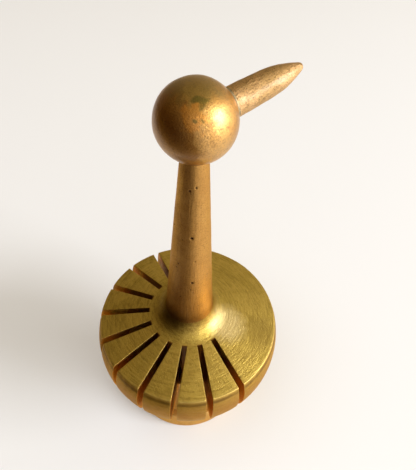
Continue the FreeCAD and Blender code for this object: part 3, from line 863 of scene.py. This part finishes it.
def ball_brass():
    """The ball's brass: gold worn bright by hands under brown, with green-olive patches of old patina,
    and painted shade over its dark left side.
    """
    material, tree, shader, place, colour = aged_brass(
        "hand_rubbed_brass", "#D9AA60", "#AE7C2E", "#683E10", (0.40, 0.50), patchy=0.8, mottled=0.35,
        grain=0.55, relief=0.20, lacquer=1.0)
    middle = np.array([0, 0, BALL_C[2] / MM])
    # painted shade: the ball's dark left side, with a ragged edge
    painted_dark_side = distance_from(tree, place, middle + (-12.5, 4.9, -3.2), 5.0)
    crown = distance_from(tree, place, middle + (-1.0, 0.5, 13.8), 9.0)
    bare = distance_from(tree, place, middle + (-5.8, -9.0, 8.8), 8.0)
    films = [
        # painted shade on the dark left side
        (painted_dark_side, 18.8 * MM, 18.0 * MM, 0.5, shade("#8C540F")),
        (crown, 11 * MM, 5.0 * MM, 0.6, shade("#84763A")),
        (bare, 5.0 * MM, 2.8 * MM, 0.65, shade("#DA9436")),
    ]
    for spot, size in (((-2.5, -7.1, 11.6), 1.7), ((-3.6, -5.8, 12.0), 1.4), ((-5.8, -9.7, 7.9), 0.9),
                       ((-4.1, -10.7, 7.6), 0.8), ((5.5, 8.0, 9.5), 2.4), ((-9.0, 6.5, -8.0), 2.8)):
        green = distance_from(tree, place, middle + spot, 4.0)
        films.append((green, 1.3 * size * MM, 0.5 * size * MM, 0.8, shade("#6F6420")))
    tree.links.new(paint(tree, colour, films), shader.inputs["Base Color"])
    return material


def beak_brass():
    """The beak's brass: a grainy sand casting, brushed but never smoothed."""
    material, tree, shader, _, colour = aged_brass(
        "sand_cast_brass", "#DCB27E", "#AC8C50", "#6E5020", (0.42, 0.52), patchy=0.6, mottled=0.5,
        grain=0.9, relief=0.35, lacquer=0.6)
    tree.links.new(colour, shader.inputs["Base Color"])
    return material


def foot_brass():
    """The foot's brass: turned, warm, and smoother than the castings."""
    material, tree, shader, _, colour = aged_brass(
        "turned_brass", "#DFB470", "#C89852", "#78501E", (0.40, 0.50), lathe_marks, patchy=0.6,
        mottled=0.2, grain=0.2, relief=0.12, scored=0.15, lacquer=0.1)
    tree.links.new(colour, shader.inputs["Base Color"])
    return material


def silver_solder():
    """Silver solder: pale, dull, slightly lumpy."""
    material, tree, shader, place = new_material("silver_solder", 1.0, 0.6)
    lumps = add(tree, "TexNoise", {"Vector": place, "Scale": 1 / (0.7 * MM), "Detail": 3.0})
    colour = paint(tree, shade("#AC9C7C"), [(lumps, 0.35, 0.70, 1.0, shade("#85765A"))])
    tree.links.new(colour, shader.inputs["Base Color"])
    bump = add(tree, "Bump", {"Strength": 0.5, "Distance": 0.06 * MM, "Height": lumps})
    tree.links.new(bump, shader.inputs["Normal"])
    return material


def zinc_plate():
    """Zinc-plated steel: cool grey, crystalline, half matt."""
    material, tree, shader, place = new_material("zinc_plated_steel", 1.0, 0.35)
    spangle = add(tree, "TexNoise", {"Vector": place, "Scale": 1 / (1.5 * MM), "Detail": 4.0,
                                     "Roughness": 0.7})
    colour = paint(tree, shade("#B9BBBC"), [(spangle, 0.2, 0.8, 1.0, shade("#9A9C9B"))])
    tree.links.new(colour, shader.inputs["Base Color"])
    level = add(tree, "Math", {0: spangle, 1: 0.2, 2: 0.25}, operation="MULTIPLY_ADD")
    tree.links.new(level, shader.inputs["Roughness"])
    return material


def wool_felt():
    """Pressed wool felt, dark green: matt, fuzzy, with a soft sheen at a low angle."""
    material, tree, shader, place = new_material("wool_felt", 0.0, 0.95)
    fibres = add(tree, "TexNoise", {"Vector": place, "Scale": 1 / (0.5 * MM), "Detail": 6.0,
                                    "Roughness": 0.75, "Distortion": 1.2})
    tufts = add(tree, "TexNoise", {"Vector": place, "Scale": 1 / (4 * MM), "Detail": 3.0})
    colour = paint(tree, shade("#1B2A1C"), [
        (fibres, 0.2, 0.8, 1.0, shade("#34482F")),
        (tufts, 0.3, 0.7, 0.4, shade("#141F15")),
    ])
    tree.links.new(colour, shader.inputs["Base Color"])
    bump = add(tree, "Bump", {"Strength": 0.9, "Distance": 0.15 * MM, "Height": fibres})
    tree.links.new(bump, shader.inputs["Normal"])
    shader.inputs["Sheen Weight"].default_value = 0.4
    shader.inputs["Sheen Roughness"].default_value = 0.6
    return material


def finish_piece(piece, material, node, body):
    """Give a piece its material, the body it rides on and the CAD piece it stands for."""
    piece.data.materials.clear()
    piece.data.materials.append(material)
    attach(piece, body)
    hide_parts(node)


# ---------------------------------------------------------------- build the object
turned = foot_brass()
finish_piece(make_body_disc(), disc_brass(), "body_disc", "stand")
finish_piece(make_neck(), neck_brass(), "neck", "stand")
finish_piece(make_base(), turned, "base_plate", "stand")
finish_piece(make_stem(), turned, "stem", "stand")
finish_piece(make_pad(), wool_felt(), "felt_pad", "stand")
finish_piece(make_ball(), ball_brass(), "head_ball", "head")
finish_piece(make_beak(), beak_brass(), "beak", "head")
finish_piece(make_solder(), silver_solder(), "beak_solder", "head")
zinc = zinc_plate()
for hidden in ("tie_rod", "tie_nut", "nut_washer", "head_stud"):
    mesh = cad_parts[hidden].data
    mesh.materials.clear()
    mesh.materials.append(zinc)


# ---------------------------------------------------------------- stage, light and camera
VIEW_TURN = -121.0 * DEG      # direction of the camera from the object, about the upright axis


def toward(turn, rise):
    """Unit vector at an angle about the upright axis from the camera's side, and a rise."""
    angle = VIEW_TURN + turn
    return Vector((math.cos(angle) * math.cos(rise), math.sin(angle) * math.cos(rise), math.sin(rise)))


def pale_floor():
    """A plain round pale floor. It fills the view and stops short of the camera, so that upright
    metal mirrors the dim room there."""
    radius, centre_right, centre_away = 0.60, 0.12, 0.48
    around = np.linspace(0, 2 * np.pi, 128, endpoint=False)[:, None]
    across = centre_right + radius * np.cos(around)
    along = centre_away + radius * np.sin(around)
    right, away = np.array(toward(90 * DEG, 0)), np.array(toward(180 * DEG, 0))
    points = across * right + along * away
    mesh = bpy.data.meshes.new("floor")
    mesh.from_pydata(points.tolist(), [], [list(range(len(points)))])
    floor = bpy.data.objects.new("floor", mesh)
    bpy.context.scene.collection.objects.link(floor)
    material, _, shader, _ = new_material("matt_white_lacquer", 0.0, 0.7)
    shader.inputs["Base Color"].default_value = shade("#EBEEF5")
    mesh.materials.append(material)


def area_light(name, turn, rise, distance, width, height, power, colour):
    """A soft rectangular light aimed at the middle of the object."""
    light = bpy.data.lights.new(name, "AREA")
    light.shape = "RECTANGLE"
    light.size, light.size_y = width, height
    light.energy = power
    light.color = shade(colour)[:3]
    lamp = bpy.data.objects.new(name, light)
    bpy.context.scene.collection.objects.link(lamp)
    aim = Vector((0, 0, 0.1))     # about half way up
    away = toward(turn, rise)
    lamp.location = aim + away * distance
    lamp.rotation_mode = "QUATERNION"
    lamp.rotation_quaternion = away.to_track_quat("Z", "Y")
    return lamp


def studio_world():
    """A soft room: bright on the window's side, dark brown on the other, a pale wall behind the
    object and a dimmer ceiling. The camera itself sees a plain pale backdrop."""
    world = bpy.data.worlds.new("studio")
    bpy.context.scene.world = world
    world.use_nodes = True
    tree = world.node_tree
    tree.nodes.clear()
    way = add(tree, "TexCoord", out="Generated")

    def lean(turn, rise):
        """How far a direction points towards a part of the room: 1 straight at it, -1 away from it."""
        return add(tree, "VectorMath", {0: way, 1: toward(turn, rise)}, "Value",
                   operation="DOT_PRODUCT")

    wall = paint(tree, shade("#83745C"), [(lean(90 * DEG, 0), -0.8, 0.6, 1.0, shade("#B8AB92"))])
    ceiling = paint(tree, shade("#8A784C"), [(lean(90 * DEG, 0), -0.6, 0.6, 1.0, shade("#AE9E74"))])
    colour = paint(tree, shade("#3C250A"), [
        (lean(100 * DEG, 20 * DEG), -0.30, 0.14, 1.0, shade("#FFF6E8")),
        (lean(180 * DEG, 0), 0.25, 0.80, 1.0, wall),
        (lean(0, 90 * DEG), 0.42, 0.85, 1.0, ceiling),
    ])
    glow = add(tree, "Background", {"Color": colour, "Strength": 1.25})
    plain = add(tree, "Background", {"Color": shade("#EFEAE4"), "Strength": 1.0})
    seen = add(tree, "LightPath", out="Is Camera Ray")
    mixed = add(tree, "MixShader", {0: seen, 1: glow, 2: plain})
    add(tree, "OutputWorld", {"Surface": mixed}, None)


def set_camera():
    """The camera: it stands above and in front of the tail, turned slightly off the object. Its
    lens is close to the sensor's width, an ordinary phone's view of a thing near by."""
    reach, rise = 5.09 * BODY_R, 60.3 * DEG
    pan, tilt, roll = -2.2 * DEG, 10.67 * DEG, -1.66 * DEG
    aim = Vector((0, 0, BODY_EDGE_Z))
    back = toward(0, rise)
    forward = -back
    right = Vector((-math.sin(VIEW_TURN), math.cos(VIEW_TURN), 0))
    up = right.cross(forward)
    pan_turn = Quaternion(up, pan)
    forward, right = pan_turn @ forward, pan_turn @ right
    tilt_turn = Quaternion(right, tilt)
    forward, up = tilt_turn @ forward, tilt_turn @ up
    roll_turn = Quaternion(forward, roll)
    right, up = roll_turn @ right, roll_turn @ up
    lens = bpy.data.cameras.new("camera")
    lens.sensor_width, lens.lens = 36.0, 32.93617     # both in millimetres
    lens.clip_start, lens.clip_end = 0.01, 20.0
    camera = bpy.data.objects.new("camera", lens)
    bpy.context.scene.collection.objects.link(camera)
    axes = Matrix((right, up, -forward)).transposed()
    camera.matrix_world = Matrix.Translation(aim + back * reach) @ axes.to_4x4()
    bpy.context.scene.camera = camera


pale_floor()
studio_world()
area_light("window", turn=74 * DEG, rise=21 * DEG, distance=3.0, width=1.5, height=1.4, power=107,
           colour="#FFFFFF")
floor_fill = area_light("floor_fill", turn=-60 * DEG, rise=65 * DEG, distance=2.5, width=2.5,
                        height=2.5, power=26, colour="#F4F6FF")
floor_fill.visible_glossy = False
set_camera()
bpy.context.scene.view_settings.view_transform = "Standard"
